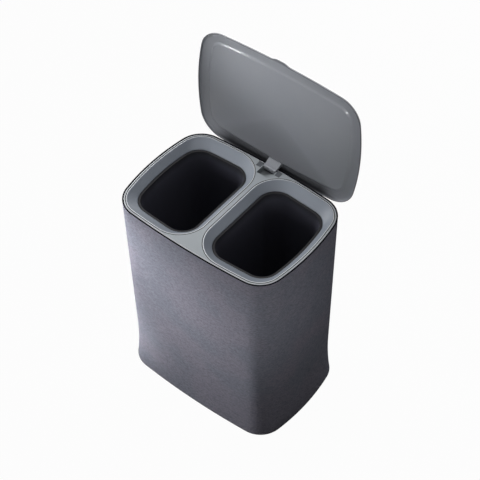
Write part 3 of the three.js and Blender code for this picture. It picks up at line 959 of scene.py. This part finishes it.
at_grab = soft_step((grab_width / 2 - lid_x) / grab_blend) * (lid_y < 0)
near_edge = np.clip(1 - from_side / grab_from_edge, 0, 1)
near_edge *= np.clip((lid_low + grab_height - lid_z) / grab_fade, 0, 1)
lid_rows[..., 1] -= grab_reach * at_grab * soft_step(near_edge)[:, None]
lid = skin("lid_plate", opened(lid_rows), sharp=lid_sharp)
hinge_shade = 0.85
hinge_shade_from = 112
hinge_shade_fade = 36
hinge_shade_half = 190
hinge_shade_side_fade = 60
edge_shade = 0.6
edge_shade_height = 0.7
edge_shade_width = 1.2
hinge_side = soft_step((lid_y - hinge_shade_from) / hinge_shade_fade)
hinge_side *= soft_step((hinge_shade_half - lid_x) / hinge_shade_side_fade)
inner_rim = np.arange(len(lid_profile)) < 1 + len(inner_panel) + len(inner_crown)
low_edge = (lid_z < lid_low + edge_shade_height) & (from_side < edge_shade_width)
shade = np.maximum(hinge_shade * hinge_side * inner_rim[:, None], edge_shade * low_edge[:, None])
paint(lid, "painted_shade", np.append(shade.reshape(-1), [0, 0]))

knuckle_wall = 2.2
arch_base = 9.3
arch_thickness = 3.6
arch_rise = 8
arch_round = 1
arch_lead = 0.2
back_bevel = 0.5
crown_lead = 0.4
crown_dip = 0.05
tongue_half = 18
tongue_reach = 18.8
under_pin_steps = 17
knuckle = channel + knuckle_wall
crown = arch_base + arch_thickness
reach = tongue_reach + plate / 2
peak = crown + arch_rise


def curve_through(a, control, b, steps=10):
    """Quadratic curve (1-t)^2 A + 2t(1-t) C + t^2 B from A to B, pulled towards the control C."""
    t = np.linspace(0, 1, steps + 1)[:, None]
    return (1 - t) ** 2 * np.array(a) + 2 * t * (1 - t) * np.array(control) + t**2 * np.array(b)


under_pin = np.linspace(half_turn, 2 * half_turn, under_pin_steps)
tongue_side = np.concatenate([
    np.column_stack([knuckle * np.cos(under_pin), knuckle * np.sin(under_pin)]),
    [[knuckle, arch_base - arch_round - arch_lead]],
    curve_through(
        (knuckle, arch_base - arch_round),
        (knuckle, arch_base),
        (knuckle + arch_round, arch_base),
    ),
    [[reach, arch_base], [reach, peak]],
    curve_through((reach - back_bevel, peak), (knuckle * 2, crown + arch_rise / 4), (0, crown)),
    curve_through(
        (-crown_lead, crown - crown_dip),
        (-knuckle, crown),
        (-knuckle, arch_base - arch_thickness),
    ),
])
# Each row of the tongue is its side view at a share of its half width, drawn in at both ends by so
# many millimetres to round them.
tongue_shares = ((-1, 0.6), (-0.985, 0.25), (-0.96, 0), (0.96, 0), (0.985, 0.25), (1, 0.6))
inwards = tongue_side.mean(0) - tongue_side
inwards /= np.linalg.norm(inwards, axis=1, keepdims=True)
tongue_rows = []
for share, drawn_in in tongue_shares:
    side_y, side_z = (tongue_side + drawn_in * inwards).T
    wide = np.full(len(tongue_side), share * tongue_half)
    tongue_rows.append(np.column_stack([wide, hinge_y + side_y, hinge_z + side_z]))
tongue = skin("tongue", tongue_rows)
bore = bar("bore", channel, -tongue_half - bore_overrun, tongue_half + bore_overrun)
carve(lid, "UNION", tongue, sharp=lid_sharp)
carve(lid, "DIFFERENCE", bore, sharp=lid_sharp)
level(lid)
lid_dark = (0.18, 0.188, 0.212)
lid_light = (0.206, 0.215, 0.231)
lid_shine = {"specular": 0.12, "Coat_Weight": 0.12, "Coat_Roughness": 0.1}
lid_finish = satin("lid_grey_plastic", lid_dark, lid_light, roughness=0.24, **lid_shine)
dress(lid, lid_finish, "lid", "lid", "lid")

# Studio. A pale floor under an even sky, wide lamps above, behind and at the left, and small ones
# in front that fall off over the casing and give the lid its sheen and its one bright streak.
# A long lens looks down on it all from the front right.
azimuth = math.radians(39.45)
elevation = math.radians(48.97)
roll = math.radians(-1.09)
distance = 3.58213
target_right = 0.02345
target_height = 0.48113
focal_px = 1486.06
image_px = 480
sensor = 36
right = Vector((math.cos(azimuth), math.sin(azimuth), 0))
back = Vector((
    math.sin(azimuth) * math.cos(elevation),
    -math.cos(azimuth) * math.cos(elevation),
    math.sin(elevation),
))
up = back.cross(right)
target = target_right * right + Vector((0, middle_y * MM, target_height))
lens = bpy.data.cameras.new("camera")
lens.sensor_width = sensor
lens.lens = sensor * focal_px / image_px
lens.clip_start = 0.1
lens.clip_end = 30
camera = bpy.data.objects.new("camera", lens)
tilt_right = right * math.cos(roll) + up * math.sin(roll)
tilt_up = up * math.cos(roll) - right * math.sin(roll)
turn = Matrix((tilt_right, tilt_up, back)).transposed().to_4x4()
camera.matrix_world = Matrix.Translation(target + distance * back) @ turn
bpy.context.scene.collection.objects.link(camera)
bpy.context.scene.camera = camera
bpy.context.scene.view_settings.view_transform = "Standard"

floor_half = 6
floor_corners = [(-floor_half, -floor_half, 0), (floor_half, -floor_half, 0)]
floor_corners += [(floor_half, floor_half, 0), (-floor_half, floor_half, 0)]
floor_mesh = bpy.data.meshes.new("floor")
floor_mesh.from_pydata(floor_corners, [], [(0, 1, 2, 3)])
floor = bpy.data.objects.new("floor", floor_mesh)
bpy.context.scene.collection.objects.link(floor)


def seen(tree):
    """1 for rays from the camera, also by way of a mirror or a pane, and 0 for the light on things:
    the sum of the three kinds of ray, held at 1."""
    straight = tree.node("ShaderNodeLightPath", "Is Camera Ray")
    by_mirror = tree.node("ShaderNodeLightPath", "Is Glossy Ray")
    through_pane = tree.node("ShaderNodeLightPath", "Is Transmission Ray")
    return (straight + by_mirror).then("ADD", through_pane, clamp=True)


# The floor is matt and pale. To the camera it is mostly plain white, and it keeps a faint shadow.
floor_grey = 0.36
floor_white_share = 0.97
floor_colour = (floor_grey, floor_grey, floor_grey, 1)
paper = Finish("pale_floor")
matt = paper.shader(Base_Color=floor_colour, Roughness=1, Specular_IOR_Level=0)
white = paper.node("ShaderNodeEmission", 0)
whitened = {0: seen(paper) * floor_white_share, 1: matt, 2: white}
paper.ends_in(paper.node("ShaderNodeMixShader", 0, {}, whitened))
floor_mesh.materials.append(paper.material)

# The sky is plain white to the camera, and a weak even light for everything else.
sky_level = 0.08
world = bpy.data.worlds.new("sky")
bpy.context.scene.world = world
sky = Tree(world, "ShaderNodeOutputWorld")
sky_strength = sky_level + (1 - sky_level) * seen(sky)
sky_look = {"Color": (1, 1, 1, 1), "Strength": sky_strength}
sky.ends_in(sky.node("ShaderNodeBackground", 0, {}, sky_look))


def lamp(name, place, aim, size, watts, spread=180):
    """Square soft lamp at a place, turned towards the point that it lights. Places and size are in
    metres, and the spread, the whole angle of its light, in degrees."""
    direction = Vector(place) - Vector(aim)
    data = bpy.data.lights.new(name, "AREA")
    data.shape = "SQUARE"
    data.size = size
    data.energy = watts
    data.spread = math.radians(spread)
    made = bpy.data.objects.new(name, data)
    made.location = place
    made.rotation_mode = "QUATERNION"
    made.rotation_quaternion = direction.to_track_quat("Z", "Y")
    made.visible_camera = False
    bpy.context.scene.collection.objects.link(made)


lamp("key_lamp", (-0.8, -0.85, 0.66), (-0.05, -0.17, 0.27), 0.3, 0.93, 50)
lamp("front_lamp", (-0.5, -1.1, 0.75), (-0.11, -0.17, 0.48), 0.3, 0.2, 30)
lamp("low_lamp", (-0.42, -0.8, 0.25), (-0.27, -0.17, 0.12), 0.12, 0.188, 30)
lamp("middle_lamp", (-0.42, -0.8, 0.4), (-0.27, -0.17, 0.3), 0.12, 0.035, 30)
lamp("high_lamp", (-0.42, -0.8, 0.6), (-0.27, -0.17, 0.5), 0.12, 0.145, 30)
lamp("left_lamp", (-1.8, 0.3, 0.9), (-0.2, 0, 0.3), 0.8, 2)
lamp("side_lamp", (0.8, -0.9, 0.9), (0.1, -0.28, 0.5), 0.4, 0.05, 40)
lamp("right_lamp", (0.9, -0.7, 0.7), (0.2, -0.1, 0.48), 0.4, 0.107, 30)
lamp("back_lamp", (-0.6, 1.8, 0.85), (0, 0.1, 0.45), 0.9, 12)
lamp("top_lamp", (-0.1, 0.35, 2.15), (0, 0, 0.5), 1.2, 20)
lamp("funnel_lamp", (-1.3, 0.1, 1.5), (0.05, 0, 0.6), 0.3, 0.85, 40)
lamp("lid_lamp", (0.5, -1.3, 1.1), (0.09, 0.15, 0.91), 0.3, 0.46, 25)
lamp("lid_top_lamp", (-0.3, -1.3, 1.2), (-0.1, 0.15, 0.9), 0.3, 0.16, 20)
lamp("streak_lamp", (-0.793, -0.755, 1.27), (-0.145, 0.178, 0.882), 0.12, 0.046, 14)
